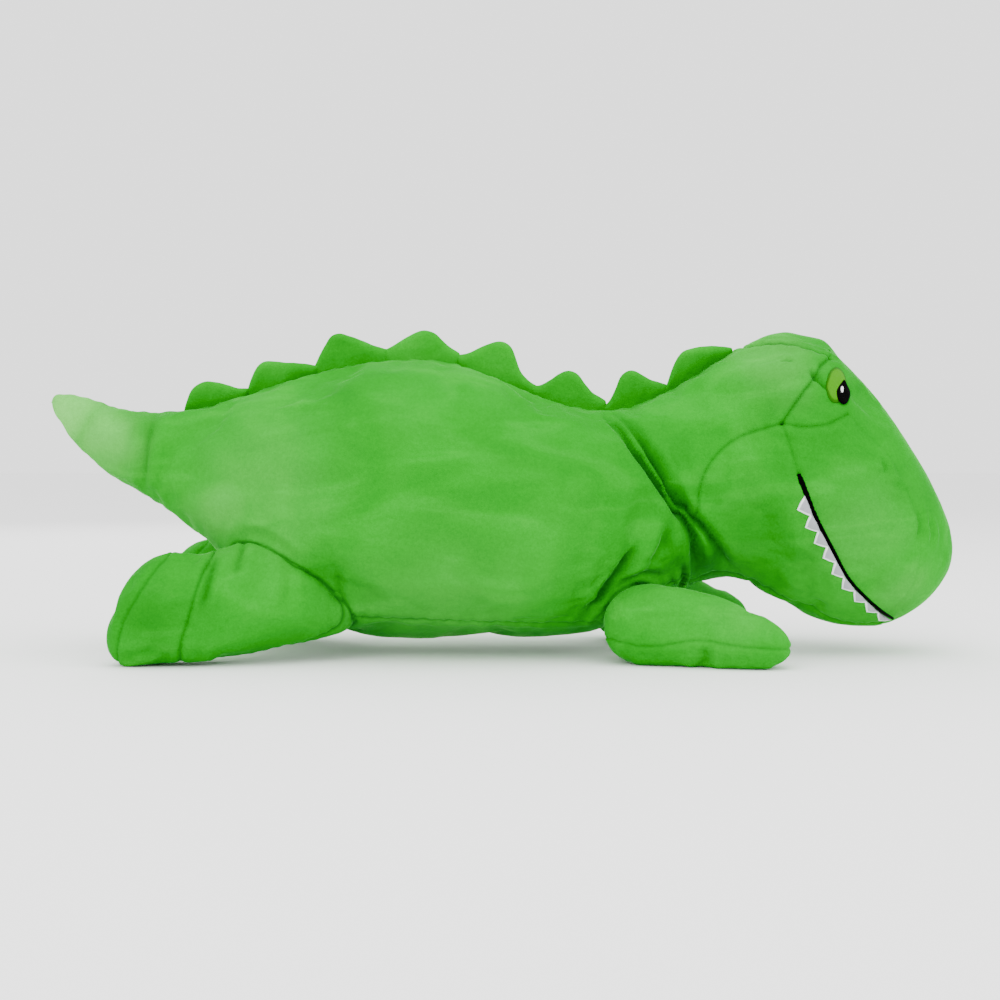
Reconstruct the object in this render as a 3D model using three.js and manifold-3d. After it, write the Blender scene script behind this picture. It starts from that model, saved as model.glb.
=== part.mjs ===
// Stuffed dinosaur: a lying plush toy, sewn from short-pile fabric panels around loose fibre filling.
// Millimetres. +X points to the snout, -Y is the dinosaur's right side, +Z is up, z = 0 is the table.
import * as THREE from 'three';
import { mergeVertices } from 'three/addons/utils/BufferGeometryUtils.js';
import Module from 'manifold-3d';

const wasm = await Module();
wasm.setup();

// ---------------------------------------------------------------- driving dimensions

const cloth = 2;              // pile fabric with its backing
const slip = 0.4;             // clearance between a panel and the filling behind it
const seam = 0.4;             // gap between two panels along their seam
const jointGap = 0.5;         // clearance between the filling of two moving parts
const reach = 400;            // longer than the toy in every direction, for cutting tools
const roundness = 2.25;       // exponent of the stuffed sections, 2 is an ellipse
const finThickness = 7;
const finEdge = 1.6;          // rounding of a fin's outline
const finRoot = 6;            // how far a fin reaches below the ridge before it is trimmed
const finLift = 1.8;          // room under a fin for it to tip sideways
const finSoftness = 0.3;      // share of its length over which a fin's flank curves
const finPoint = 7;           // half width of the curve at a fin's tip
const threadHeight = 0.8;     // thickness of an embroidered patch
const mouthWidth = 2.8;
const toothCount = 9;
const toothLength = 8.2;      // the first tooth, and the others grow shorter to the snout
const toothShrink = 0.4;
const toothValley = 1.5;      // width of the thread between two teeth

const neck = { x: 132, z: 114, radius: 74 };
const tailRoot = { x: -236, radius: 38 };
const shoulder = { x: 95, y: 73, radius: 29.5, top: 51 };
const hip = { x: -128, y: 66, radius: 30, top: 52 };
const ankle = { x: -190, y: 79, radius: 31.5 };
const legSwing = [0, -20];    // degrees that the left leg turns about +Z, mirrored for the right one
const armSwing = [-8, 40];    // the same for the left arm
const swingSteps = 10;        // turned copies of a limb that clear its hollow

// Each form is lofted through sections that stand across X. Columns: x, lowest z, highest z,
// half width, and the distance of the middle from the centre plane.
const trunkSections = [
  [-300, 166, 168, 0, 0],
  [-298, 160, 172, 6, 0],
  [-290, 148, 174, 12, 0],
  [-276, 132, 170, 19, 0],
  [-256, 114, 162, 26, 0],
  [-234, 103, 160, 33, 0],
  [-210, 88, 159, 46, 0],
  [-184, 65, 166, 60, 0],
  [-156, 38, 175, 73, 0],
  [-126, 18, 184, 83, 0],
  [-94, 12, 193, 91, 0],
  [-58, 10, 196.5, 96, 0],
  [-24, 11, 192.5, 98, 0],
  [10, 12, 176, 98, 0],
  [40, 12, 164, 94, 0],
  [66, 13, 159, 86, 0],
  [88, 24, 162, 75, 0],
  [108, 37, 171, 66, 0],
  [130, 44, 184, 62, 0],
  [152, 48, 200, 65, 0],
  [174, 42, 208.5, 71, 0],
  [196, 27, 213, 75, 0],
  [218, 19, 206, 75, 0],
  [240, 15, 183, 71, 0],
  [262, 19, 152, 63, 0],
  [280, 31, 124, 50, 0],
  [293, 47, 98, 33, 0],
  [299, 59, 80, 16, 0],
  [300, 68, 70, 0, 0],
];
const armSections = [
  [65.5, 20, 24, 0, 73],
  [68, 8, 36, 14, 73],
  [79, -3, 48, 25, 73],
  [95, -4, 51, 28.5, 74],
  [112, -4, 50, 27, 80],
  [132, -4, 46, 25, 88],
  [152, -4, 39, 23, 96],
  [168, -2, 31, 19, 100],
  [177, 5, 22, 11, 102],
  [179.5, 12, 15, 0, 102],
];
const legSections = [
  [-246, 14, 18, 0, 84],
  [-243.5, 4, 30, 12, 84],
  [-236, -3, 49, 20, 83],
  [-224, -4, 66, 26, 82],
  [-210, -4, 73, 28, 81],
  [-196, -4, 73, 28.5, 80],
  [-184, -3, 70, 29, 78],
  [-171, 0, 73, 30, 75],
  [-156, 4, 75, 30, 72],
  [-141, 9, 69, 29, 69],
  [-126, 13, 57, 26, 65],
  [-112, 17, 45, 20, 62],
  [-101, 21, 35, 11, 58],
  [-98.5, 26, 28, 0, 57],
];

// The padded fins of the back: where the base starts and ends, and the tip.
const fins = [
  { from: -209, to: -169, tip: [-193, 179] },
  { from: -168, to: -123, tip: [-152, 194] },
  { from: -122, to: -76, tip: [-105, 211] },
  { from: -75, to: -26, tip: [-51, 213] },
  { from: -25, to: 22, tip: [-2, 205] },
  { from: 23, to: 69, tip: [47, 188] },
  { from: 70, to: 107, tip: [86, 187] },
  { from: 108, to: 157, tip: [136, 204] },
];

// Seams that run down both sides alike, as [x, z] points.
const bellySeam = [[-132, 0], [-130, 26], [-105, 28], [-60, 26], [0, 24], [60, 24], [84, 36], [112, 50]];
const cheekSeam = [[127, 20], [125, 66], [126, 104], [136, 130], [154, 144], [179, 151]];
const browSeam = [[179, 151], [200, 180], [214, 194]];
const crownSeam = [[148, 215], [154, 200], [170, 203], [188, 203], [204, 198], [214, 194], [222, 194],
  [236, 212]];
const muzzleSeam = [[179, 151], [196, 149], [220, 157], [246, 131], [268, 77], [266, 45], [250, 26]];
const mouthSeam = [[179, 151], [188, 119], [194, 104], [208, 76], [222, 52], [234, 39], [250, 26], [256, 0]];
const mouthLine = mouthSeam.slice(1, 7);
const armSeam = [[50, 16], [92, 14], [122, 19], [146, 15], [190, 10]];
const footSeam = [[-196, 90], [-201, 71], [-215, 54], [-224, 33], [-230, 12], [-236, -10]];
const throat = { halfWidth: 24, from: 60, to: 252, top: 70 };
const ridge = { end: 162, bottom: 100 };
const tailSeam = { end: -130, top: 110 };
const legSeam = 70;           // distance of a leg's long seam from the centre plane
const eye = { x: 218, z: 175, halfWide: 8, halfHigh: 13.5, turn: -0.25 };
const pupil = {
  low: [223, 164],
  high: [219, 184],
  front: [[228, 168], [224, 178]],
  back: [[214, 174], [217, 163]],
};
const glint = { x: 220.5, z: 176, halfWide: 1.8, halfHigh: 2.2, turn: 0 };

const green = { color: 0x4bc83f, roughness: 0.85, metalness: 0 };
const looks = {
  pile: new THREE.MeshStandardMaterial(green),
  finPile: new THREE.MeshStandardMaterial({ ...green, color: 0x3fbf38 }),
  fibre: new THREE.MeshStandardMaterial({ color: 0xf2f2ee, roughness: 1, metalness: 0 }),
  blackThread: new THREE.MeshStandardMaterial({ color: 0x101010, roughness: 0.6, metalness: 0 }),
  whiteThread: new THREE.MeshStandardMaterial({ color: 0xe6e8ea, roughness: 0.5, metalness: 0 }),
  oliveThread: new THREE.MeshStandardMaterial({ color: 0x64a014, roughness: 0.5, metalness: 0 }),
};

// ---------------------------------------------------------------- solids

// Turns a closed three.js geometry into a solid that can be cut and joined.
function solid(geometry) {
  const bare = geometry.clone();
  bare.deleteAttribute('normal');
  bare.deleteAttribute('uv');
  const merged = mergeVertices(bare);
  return new wasm.Manifold(new wasm.Mesh({
    numProp: 3,
    vertProperties: new Float32Array(merged.attributes.position.array),
    triVerts: new Uint32Array(merged.index.array),
  }));
}

// A stuffed form through its sections, grown by offset along its normals. Its base is flat on z = 0.
function stuffed(sections, side, rows, around, offset = 0) {
  const steps = sections.map((section, index) => index);
  const curve = new THREE.CubicInterpolant(steps, sections.flat(), sections[0].length);
  const geometry = new THREE.SphereGeometry(1, around, rows);
  geometry.deleteAttribute('normal');
  geometry.deleteAttribute('uv');
  const form = mergeVertices(geometry);
  const place = form.attributes.position;
  const point = new THREE.Vector3();
  for (let i = 0; i < place.count; i += 1) {
    point.fromBufferAttribute(place, i);
    const along = Math.acos(THREE.MathUtils.clamp(point.y, -1, 1)) / Math.PI;
    const [x, low, high, half, middle] = curve.evaluate(along * (sections.length - 1));
    const ring = Math.hypot(point.x, point.z) || 1;
    const across = bulge(point.x / ring) * half;
    const up = bulge(point.z / ring) * (high - low) / 2;
    place.setXYZ(i, x, side * middle + across, Math.max(0, (low + high) / 2 + up));
  }
  form.computeVertexNormals();
  const normal = form.attributes.normal;
  for (let i = 0; i < place.count; i += 1) {
    point.fromBufferAttribute(normal, i).multiplyScalar(offset);
    place.setXYZ(i, place.getX(i) + point.x, place.getY(i) + point.y, place.getZ(i) + point.z);
  }
  return solid(form);
}

function bulge(share) {
  return Math.sign(share) * Math.abs(share) ** (2 / roundness);
}

function block(from, to) {
  const size = to.map((value, axis) => value - from[axis]);
  const geometry = new THREE.BoxGeometry(...size);
  return solid(geometry.translate(...to.map((value, axis) => (value + from[axis]) / 2)));
}

// A round bar across the toy, along Y.
function crossBar({ x, z }, radius) {
  return solid(new THREE.CylinderGeometry(radius, radius, reach, 36).translate(x, 0, z));
}

// A round post that stands along Z.
function post(x, y, radius, bottom, top) {
  const geometry = new THREE.CylinderGeometry(radius, radius, top - bottom, 24);
  return solid(geometry.rotateX(Math.PI / 2).translate(x, y, (top + bottom) / 2));
}

// A thin wall that follows [x, z] points and runs from y = from to y = to.
function wall(points, width, from = -reach, to = reach) {
  const pieces = points.slice(1).map((end, index) => {
    const start = points[index];
    const run = Math.hypot(end[0] - start[0], end[1] - start[1]);
    const geometry = new THREE.BoxGeometry(run + width, to - from, width);
    geometry.rotateY(-Math.atan2(end[1] - start[1], end[0] - start[0]));
    return solid(geometry.translate((start[0] + end[0]) / 2, (from + to) / 2, (start[1] + end[1]) / 2));
  });
  return pieces.reduce((all, piece) => all.add(piece));
}

// A plate whose outline is drawn in X and Z, from y = 0 to the far right or left side.
function plate(outline, side, depth = reach) {
  const geometry = new THREE.ExtrudeGeometry(outline, { depth, bevelEnabled: false, curveSegments: 8 });
  geometry.rotateX(Math.PI / 2);
  return solid(side > 0 ? geometry.translate(0, depth, 0) : geometry);
}

const cut = (body, ...tools) => tools.reduce((rest, tool) => rest.subtract(tool), body);

// The loose piece of a cut skin that lies nearest to a point.
function pieceAt(skin, x, y, z) {
  const target = new THREE.Vector3(x, y, z);
  const corner = new THREE.Vector3();
  let best = null;
  let bestDistance = Infinity;
  for (const piece of skin.decompose()) {
    const { vertProperties } = piece.getMesh();
    for (let i = 0; i < vertProperties.length; i += 3) {
      const distance = corner.fromArray(vertProperties, i).distanceTo(target);
      if (distance < bestDistance) {
        bestDistance = distance;
        best = piece;
      }
    }
  }
  return best;
}

const dinosaur = new THREE.Group();

function shapeOf(body) {
  const { vertProperties, triVerts } = body.getMesh();
  const geometry = new THREE.BufferGeometry();
  geometry.setAttribute('position', new THREE.Float32BufferAttribute(vertProperties, 3));
  return geometry.setIndex([...triVerts]);
}

// The same solid, turned about an upright axis.
function turned(body, x, y, degrees) {
  const geometry = shapeOf(body).translate(-x, -y, 0).rotateZ(THREE.MathUtils.degToRad(degrees));
  return solid(geometry.translate(x, y, 0));
}

function add(name, body, material) {
  const geometry = shapeOf(body);
  geometry.computeVertexNormals();
  const mesh = new THREE.Mesh(geometry, material);
  mesh.name = name;
  dinosaur.add(mesh);
}

// ---------------------------------------------------------------- trunk: tail, torso, neck and head

const trunk = (offset) => stuffed(trunkSections, 0, 26, 16, offset);
const trunkSkin = trunk(0).subtract(trunk(-cloth));
const trunkFilling = trunk(-cloth - slip);
const leg = (side, offset) => stuffed(legSections, side, 12, 10, offset);
const arm = (side, offset) => stuffed(armSections, side, 9, 10, offset);

function headTool(gap) {
  const front = block([neck.x, -reach, -reach], [reach, reach, reach]);
  return front.add(crossBar(neck, neck.radius + gap));
}

function tailTool(gap) {
  const back = block([-reach, -reach, -reach], [tailRoot.x, reach, reach]);
  return back.add(post(tailRoot.x, 0, tailRoot.radius + gap, -reach, reach));
}

// The hollow that a limb is sewn into, with room for its round end to turn and for its swing.
function limbHollow(limb, root, side, swing) {
  const form = limb(side, jointGap);
  const socket = post(root.x, side * root.y, root.radius + jointGap, -1, root.top);
  const swings = swing.map((degrees) => turned(form, root.x, side * root.y, side * degrees));
  return swings.reduce((all, place) => all.add(place), form.add(socket));
}

// Both the ridge and the underside of the tail have a seam on the centre plane.
const ridgeSeam = block([-reach, -seam / 2, ridge.bottom], [ridge.end, seam / 2, reach])
  .add(block([-reach, -seam / 2, 0], [tailSeam.end, seam / 2, tailSeam.top]));
const throatSeams = [-throat.halfWidth, throat.halfWidth].map((y) => block(
  [throat.from, y - seam / 2, 0], [throat.to, y + seam / 2, throat.top]));

function addTorso() {
  const turns = ([from, to]) => Array.from({ length: swingSteps + 1 },
    (_, i) => from + (to - from) * i / swingSteps);
  const hollows = [-1, 1].flatMap((side) => [
    limbHollow(arm, shoulder, side, turns(armSwing)),
    limbHollow(leg, hip, side, turns(legSwing)),
  ]);
  const tools = [headTool(jointGap), tailTool(jointGap), ...hollows];
  const skin = cut(trunkSkin, ...tools, ridgeSeam, wall(bellySeam, seam));
  add('side_panel_right', pieceAt(skin, -40, -96, 110), looks.pile);
  add('side_panel_left', pieceAt(skin, -40, 96, 110), looks.pile);
  add('belly_panel', pieceAt(skin, -40, 0, 10), looks.pile);
  add('torso_filling', cut(trunkFilling, ...tools), looks.fibre);
}

function addTail() {
  const skin = cut(trunkSkin.intersect(tailTool(0)), ridgeSeam);
  add('tail_panel_right', pieceAt(skin, -260, -24, 140), looks.pile);
  add('tail_panel_left', pieceAt(skin, -260, 24, 140), looks.pile);
  add('tail_filling', trunkFilling.intersect(tailTool(0)), looks.fibre);
}

function addHead() {
  const seams = [browSeam, crownSeam, muzzleSeam, mouthSeam].map((line) => wall(line, seam));
  seams.push(wall(cheekSeam, seam, throat.halfWidth), wall(cheekSeam, seam, -reach, -throat.halfWidth));
  const skin = cut(trunkSkin.intersect(headTool(0)), ridgeSeam, ...seams, ...throatSeams);
  for (const [side, name] of [[-1, 'right'], [1, 'left']]) {
    add(`skull_panel_${name}`, pieceAt(skin, 150, side * 62, 150), looks.pile);
    add(`cheek_panel_${name}`, pieceAt(skin, 165, side * 66, 100), looks.pile);
    add(`muzzle_panel_${name}`, pieceAt(skin, 230, side * 70, 100), looks.pile);
  }
  add('crown_gusset', pieceAt(skin, 190, 0, 213), looks.pile);
  add('snout_panel', pieceAt(skin, 262, 0, 150), looks.pile);
  add('throat_gusset', pieceAt(skin, 200, 0, 26), looks.pile);
  add('head_filling', trunkFilling.intersect(headTool(0)), looks.fibre);
}

// ---------------------------------------------------------------- embroidery of the face

// A thin layer that lies on the head, level layers of thread above the pile.
function threadLayer(level) {
  const bottom = slip + level * (threadHeight + slip);
  return trunk(bottom + threadHeight).subtract(trunk(bottom));
}

function oval({ x, z, halfWide, halfHigh, turn }) {
  const outline = new THREE.Shape();
  outline.absellipse(x, z, halfWide, halfHigh, 0, Math.PI * 2, false, turn);
  return outline;
}

function toothStrip() {
  const line = new THREE.SplineCurve(mouthLine.slice(1).map(([x, z]) => new THREE.Vector2(x, z)));
  const away = (share, distance) => {
    const tangent = line.getTangentAt(share);
    return line.getPointAt(share).add(new THREE.Vector2(tangent.y, -tangent.x).multiplyScalar(distance));
  };
  const near = mouthWidth / 2 + slip;
  const points = [];
  for (let i = 0; i <= 2 * toothCount; i += 1) {
    const share = i / (2 * toothCount);
    points.push(away(share, near + (i % 2 ? toothLength * (1 - toothShrink * share) : toothValley)));
  }
  for (let i = toothCount; i >= 0; i -= 1) points.push(away(i / toothCount, near));
  return new THREE.Shape(points);
}

function addFace() {
  const layers = [0, 1, 2].map(threadLayer);
  const drop = new THREE.Shape();
  drop.moveTo(...pupil.high);
  drop.bezierCurveTo(...pupil.front[1], ...pupil.front[0], ...pupil.low);
  drop.bezierCurveTo(...pupil.back[1], ...pupil.back[0], ...pupil.high);
  for (const [side, name] of [[-1, 'right'], [1, 'left']]) {
    const half = side < 0 ? [-reach, 0] : [0, reach];
    const mouth = wall(mouthLine, mouthWidth, ...half);
    add(`mouth_line_${name}`, layers[0].intersect(mouth), looks.blackThread);
    add(`teeth_${name}`, layers[0].intersect(plate(toothStrip(), side)), looks.whiteThread);
    add(`eye_${name}`, layers[0].intersect(plate(oval(eye), side)), looks.oliveThread);
    add(`pupil_${name}`, layers[1].intersect(plate(drop, side)), looks.blackThread);
    add(`glint_${name}`, layers[2].intersect(plate(oval(glint), side)), looks.whiteThread);
  }
}

// ---------------------------------------------------------------- arms, legs and feet

function addArm(side, name) {
  const skin = cut(arm(side, 0), arm(side, -cloth), wall(armSeam, seam));
  add(`arm_upper_${name}`, pieceAt(skin, 120, side * 100, 50), looks.pile);
  add(`arm_sole_${name}`, pieceAt(skin, 120, side * 100, 0), looks.pile);
  add(`arm_filling_${name}`, arm(side, -cloth - slip), looks.fibre);
}

// The ankle is round about a post, so that the foot can turn in the end of the leg.
function footTool(side, gap) {
  const back = block([-reach, -reach, -reach], [ankle.x, reach, reach]);
  return back.add(post(ankle.x, side * ankle.y, ankle.radius + gap, -reach, reach));
}

function addLeg(side, name) {
  const skin = leg(side, 0).subtract(leg(side, -cloth));
  const filling = leg(side, -cloth - slip);
  const middle = side * legSeam;
  const inseam = block([-reach, middle - seam / 2, -reach], [reach, middle + seam / 2, reach]);
  const legSkin = cut(skin, footTool(side, jointGap), inseam);
  add(`leg_outer_${name}`, pieceAt(legSkin, -140, side * 98, 30), looks.pile);
  add(`leg_inner_${name}`, pieceAt(legSkin, -140, side * 40, 30), looks.pile);
  add(`leg_filling_${name}`, cut(filling, footTool(side, jointGap)), looks.fibre);
  const footSkin = cut(skin.intersect(footTool(side, 0)), wall(footSeam, seam));
  add(`foot_instep_${name}`, pieceAt(footSkin, -195, side * 108, 30), looks.pile);
  add(`foot_sole_${name}`, pieceAt(footSkin, -240, side * 83, 30), looks.pile);
  add(`foot_filling_${name}`, filling.intersect(footTool(side, 0)), looks.fibre);
}

// ---------------------------------------------------------------- fins

function ridgeAt(x) {
  const next = trunkSections.findIndex((section) => section[0] > x);
  const [a, b] = [trunkSections[next - 1], trunkSections[next]];
  return THREE.MathUtils.mapLinear(x, a[0], b[0], a[2], b[2]);
}

function addFins() {
  const clearance = trunk(finLift);
  fins.forEach(({ from, to, tip: [x, z] }, index) => {
    const [start, end] = [from + finEdge, to - finEdge];
    const top = z - finEdge;
    const flank = (to - from) * finSoftness;
    const outline = new THREE.Shape();
    outline.moveTo(start, ridgeAt(from) - finRoot);
    outline.lineTo(start, ridgeAt(from) + 1);
    outline.bezierCurveTo(start + flank, ridgeAt(from) + finRoot, x - finPoint, top, x, top);
    outline.bezierCurveTo(x + finPoint, top, end - flank, ridgeAt(to) + finRoot, end, ridgeAt(to) + 1);
    outline.lineTo(end, ridgeAt(to) - finRoot);
    const geometry = new THREE.ExtrudeGeometry(outline, {
      depth: finThickness - 2 * finEdge,
      bevelThickness: finEdge,
      bevelSize: finEdge,
      bevelSegments: 1,
      curveSegments: 4,
    });
    geometry.rotateX(Math.PI / 2).translate(0, finThickness / 2 - finEdge, 0);
    const riding = from < 60 ? [headTool(jointGap)] : [];
    const fin = cut(solid(geometry), clearance, ...riding);
    add(`fin_${index + 1}`, fin, looks.finPile);
  });
}

addTorso();
addTail();
addHead();
addFace();
for (const [side, name] of [[-1, 'right'], [1, 'left']]) {
  addArm(side, name);
  addLeg(side, name);
}
addFins();

export default dinosaur;
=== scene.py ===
# Stuffed dinosaur: sewn pile cloth over loose filling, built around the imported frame.
import math

import bpy
import numpy as np
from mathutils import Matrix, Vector
from mathutils.bvhtree import BVHTree


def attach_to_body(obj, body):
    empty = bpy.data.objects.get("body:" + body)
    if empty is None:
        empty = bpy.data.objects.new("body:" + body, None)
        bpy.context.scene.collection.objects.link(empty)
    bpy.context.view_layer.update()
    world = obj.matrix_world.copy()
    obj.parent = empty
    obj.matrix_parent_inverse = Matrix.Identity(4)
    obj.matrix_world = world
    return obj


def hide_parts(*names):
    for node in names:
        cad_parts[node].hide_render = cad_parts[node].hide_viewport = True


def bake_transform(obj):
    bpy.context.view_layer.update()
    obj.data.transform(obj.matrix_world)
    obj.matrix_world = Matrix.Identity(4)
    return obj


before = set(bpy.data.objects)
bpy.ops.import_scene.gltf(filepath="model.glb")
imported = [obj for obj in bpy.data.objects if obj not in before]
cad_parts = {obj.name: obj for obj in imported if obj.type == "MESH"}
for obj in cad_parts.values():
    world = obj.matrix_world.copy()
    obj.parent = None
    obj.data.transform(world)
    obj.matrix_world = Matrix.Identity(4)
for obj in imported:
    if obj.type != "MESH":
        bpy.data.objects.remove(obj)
bpy.ops.object.select_all(action="DESELECT")
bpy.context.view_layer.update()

mm = 0.001
beyond = 400      # mm, farther than the toy reaches
unreached = 1e3   # mm, stands for no seam or limb nearby
lightest = 0.02   # weights below this are left out
steepest = 0.15   # share of the normal across Y, below which a slope counts as no steeper
sides = {"right": -1, "left": 1}

# camera, floor and light

view = {"distance": 1.25, "elevation": 1.8, "aimHeight": 0.1005, "frameWidth": 0.668, "sensor": 36}
studio = {"floorSize": 14, "floorColour": (0.95, 0.95, 0.95, 1), "sky": 2.0}
lamps = [
    {"name": "topLight", "place": (0.1, -0.35, 1.5), "size": 1.6, "power": 18},
    {"name": "frontLight", "place": (-0.7, -1.7, 0.9), "size": 1.4, "power": 14},
    {"name": "headLight", "place": (1.5, -0.7, 0.8), "size": 1.0, "power": 9},
    {"name": "backLight", "place": (-0.6, 1.5, 1.0), "size": 1.2, "power": 10},
]


def addCamera():
    tilt = math.radians(view["elevation"])
    back = view["distance"] * math.cos(tilt)
    up = view["aimHeight"] + view["distance"] * math.sin(tilt)
    bpy.ops.object.camera_add(location=(0, -back, up), rotation=(math.pi / 2 - tilt, 0, 0))
    camera = bpy.context.object
    camera.data.sensor_width = view["sensor"]
    camera.data.lens = view["sensor"] * view["distance"] / view["frameWidth"]
    bpy.context.scene.camera = camera


def addStudio():
    bpy.ops.mesh.primitive_plane_add(size=studio["floorSize"])
    floor = bpy.context.object
    floor.name = "floor"
    paint, nodes, _ = newMaterial("floorPaint")
    setInputs(nodes["Principled BSDF"], {"Base Color": studio["floorColour"], "Roughness": 0.9})
    floor.data.materials.append(paint)
    world = bpy.data.worlds.new("paleRoom")
    world.use_nodes = True
    setInputs(world.node_tree.nodes["Background"], {"Color": (1, 1, 1, 1), "Strength": studio["sky"]})
    bpy.context.scene.world = world
    for lamp in lamps:
        bpy.ops.object.light_add(type="AREA", location=lamp["place"])
        light = bpy.context.object
        light.name = lamp["name"]
        light.data.size = lamp["size"]
        light.data.energy = lamp["power"]
        aim = Vector((0, 0, 0.1)) - Vector(lamp["place"])
        light.rotation_euler = aim.to_track_quat("-Z", "Y").to_euler()


# materials

pileLook = {
    "body": {"light": (0.03, 0.4, 0.022, 1), "mid": (0.002, 0.25, 0.005, 1), "deep": (0.001, 0.15, 0.003, 1)},
    "fin": {"light": (0.03, 0.4, 0.022, 1), "mid": (0.004, 0.25, 0.005, 1), "deep": (0.001, 0.14, 0.003, 1)},
    # pale brushed nap mixed with painted highlight, and dark brushed nap mixed with painted shade
    "paleNapAndHighlight": (0.17, 0.6, 0.11, 1), "darkNapAndShade": (0.001, 0.12, 0.002, 1),
    # painted shade: the dark green laid into the bottom of seam grooves, folds and limb joints
    "seam": (0.001, 0.07, 0.002, 1),
    "sheenTint": (0.3, 1.0, 0.25, 1),
    "patchScale": 12, "streakScale": 26, "grainScale": 1100, "tuftScale": 420,
}
fibreLook = {"colour": (0.9, 0.9, 0.87, 1), "scale": 160}
threadLook = {
    "black": {"colour": (0, 0, 0, 1), "edge": (0, 0, 0, 1), "roughness": 0.7, "shine": 0.02},
    "tooth": {"colour": (0.34, 0.34, 0.38, 1), "edge": (0.85, 0.87, 0.88, 1), "roughness": 0.4, "shine": 0.3},
    "olive": {"colour": (0.045, 0.24, 0, 1), "edge": (0.012, 0.12, 0, 1), "roughness": 0.6, "shine": 0.05},
    "white": {"colour": (0.9, 0.9, 0.9, 1), "edge": (0.9, 0.9, 0.9, 1), "roughness": 0.3, "shine": 0.3},
}


def newMaterial(name):
    made = bpy.data.materials.new(name)
    made.use_nodes = True
    return made, made.node_tree.nodes, made.node_tree.links


def setInputs(node, values):
    for name, value in values.items():
        node.inputs[name].default_value = value


def noiseNode(nodes, links, vector, scale, detail, distortion=0.0):
    node = nodes.new("ShaderNodeTexNoise")
    setInputs(node, {"Scale": scale, "Detail": detail, "Distortion": distortion})
    links.new(vector, node.inputs["Vector"])
    return node.outputs["Fac"]


def rampNode(nodes, links, value, stops):
    node = nodes.new("ShaderNodeValToRGB")
    elements = node.color_ramp.elements
    while len(elements) < len(stops):
        elements.new(0.5)
    for element, (place, colour) in zip(elements, stops):
        element.position = place
        element.color = colour
    links.new(value, node.inputs["Fac"])
    return node.outputs["Color"]


def mixColours(nodes, links, share, first, second, blend="MIX"):
    node = nodes.new("ShaderNodeMix")
    node.data_type = "RGBA"
    node.blend_type = blend
    node.clamp_factor = True
    for socket, value in ((node.inputs[0], share), (node.inputs[6], first), (node.inputs[7], second)):
        if isinstance(value, (tuple, float)):
            socket.default_value = value
        else:
            links.new(value, socket)
    return node.outputs[2]


def bumpNode(nodes, links, height, strength, distance, before=None):
    node = nodes.new("ShaderNodeBump")
    setInputs(node, {"Strength": strength, "Distance": distance})
    links.new(height, node.inputs["Height"])
    if before is not None:
        links.new(before, node.inputs["Normal"])
    return node.outputs["Normal"]


def grey(level):
    return (level, level, level, 1)


def makePile(name, colours):
    # nap brushed light and dark in patches, over short tufts and a fine grain
    made, nodes, links = newMaterial(name)
    shader = nodes["Principled BSDF"]
    place = nodes.new("ShaderNodeTexCoord").outputs["Object"]
    stretch = nodes.new("ShaderNodeMapping")
    setInputs(stretch, {"Scale": (0.45, 1.0, 1.6), "Rotation": (0.2, 0.35, 0.0)})
    links.new(place, stretch.inputs["Vector"])
    patches = noiseNode(nodes, links, place, pileLook["patchScale"], 2.5, 0.6)
    streaks = noiseNode(nodes, links, stretch.outputs["Vector"], pileLook["streakScale"], 3.5, 1.1)
    tufts = noiseNode(nodes, links, place, pileLook["tuftScale"], 2.0, 0.3)
    grain = noiseNode(nodes, links, place, pileLook["grainScale"], 2.0)
    deep, mid, light = colours["deep"], colours["mid"], colours["light"]
    broad = rampNode(nodes, links, patches, [(0.33, deep), (0.5, mid), (0.68, light)])
    brushed = rampNode(nodes, links, streaks, [(0.36, deep), (0.52, mid), (0.66, light)])
    coat = mixColours(nodes, links, 0.45, broad, brushed)
    coat = mixColours(nodes, links, 0.5, coat, mid)
    up, down, seam = (nodes.new("ShaderNodeAttribute") for _ in range(3))
    up.attribute_name, down.attribute_name, seam.attribute_name = "napUpAndHighlight", "napDownAndShade", "seamNear"
    # pale nap and painted highlight, then dark nap and painted shade, as stored in spots
    coat = mixColours(nodes, links, up.outputs["Fac"], coat, pileLook["paleNapAndHighlight"])
    coat = mixColours(nodes, links, down.outputs["Fac"], coat, pileLook["darkNapAndShade"])
    fleck = rampNode(nodes, links, tufts, [(0.3, grey(0.86)), (0.7, grey(1.08))])
    coat = mixColours(nodes, links, 0.5, coat, fleck, "MULTIPLY")
    speck = rampNode(nodes, links, grain, [(0.25, grey(0.82)), (0.75, grey(1.14))])
    coat = mixColours(nodes, links, 0.5, coat, speck, "MULTIPLY")
    # painted shade in seam grooves, folds and limb joints
    coat = mixColours(nodes, links, seam.outputs["Fac"], coat, pileLook["seam"])
    links.new(coat, shader.inputs["Base Color"])
    setInputs(shader, {"Roughness": 0.88, "Specular IOR Level": 0.05, "Sheen Weight": 0.35,
                       "Sheen Roughness": 0.2, "Sheen Tint": pileLook["sheenTint"]})
    normal = bumpNode(nodes, links, tufts, 0.35, 0.0008)
    normal = bumpNode(nodes, links, grain, 0.5, 0.0003, normal)
    links.new(normal, shader.inputs["Normal"])
    return made


def makeFibre():
    made, nodes, links = newMaterial("fibreFill")
    shader = nodes["Principled BSDF"]
    place = nodes.new("ShaderNodeTexCoord").outputs["Object"]
    wisps = noiseNode(nodes, links, place, fibreLook["scale"], 6.0, 1.5)
    tone = rampNode(nodes, links, wisps, [(0.3, grey(0.72)), (0.7, fibreLook["colour"])])
    links.new(tone, shader.inputs["Base Color"])
    setInputs(shader, {"Roughness": 1.0})
    links.new(bumpNode(nodes, links, wisps, 0.8, 0.002), shader.inputs["Normal"])
    return made


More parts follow.
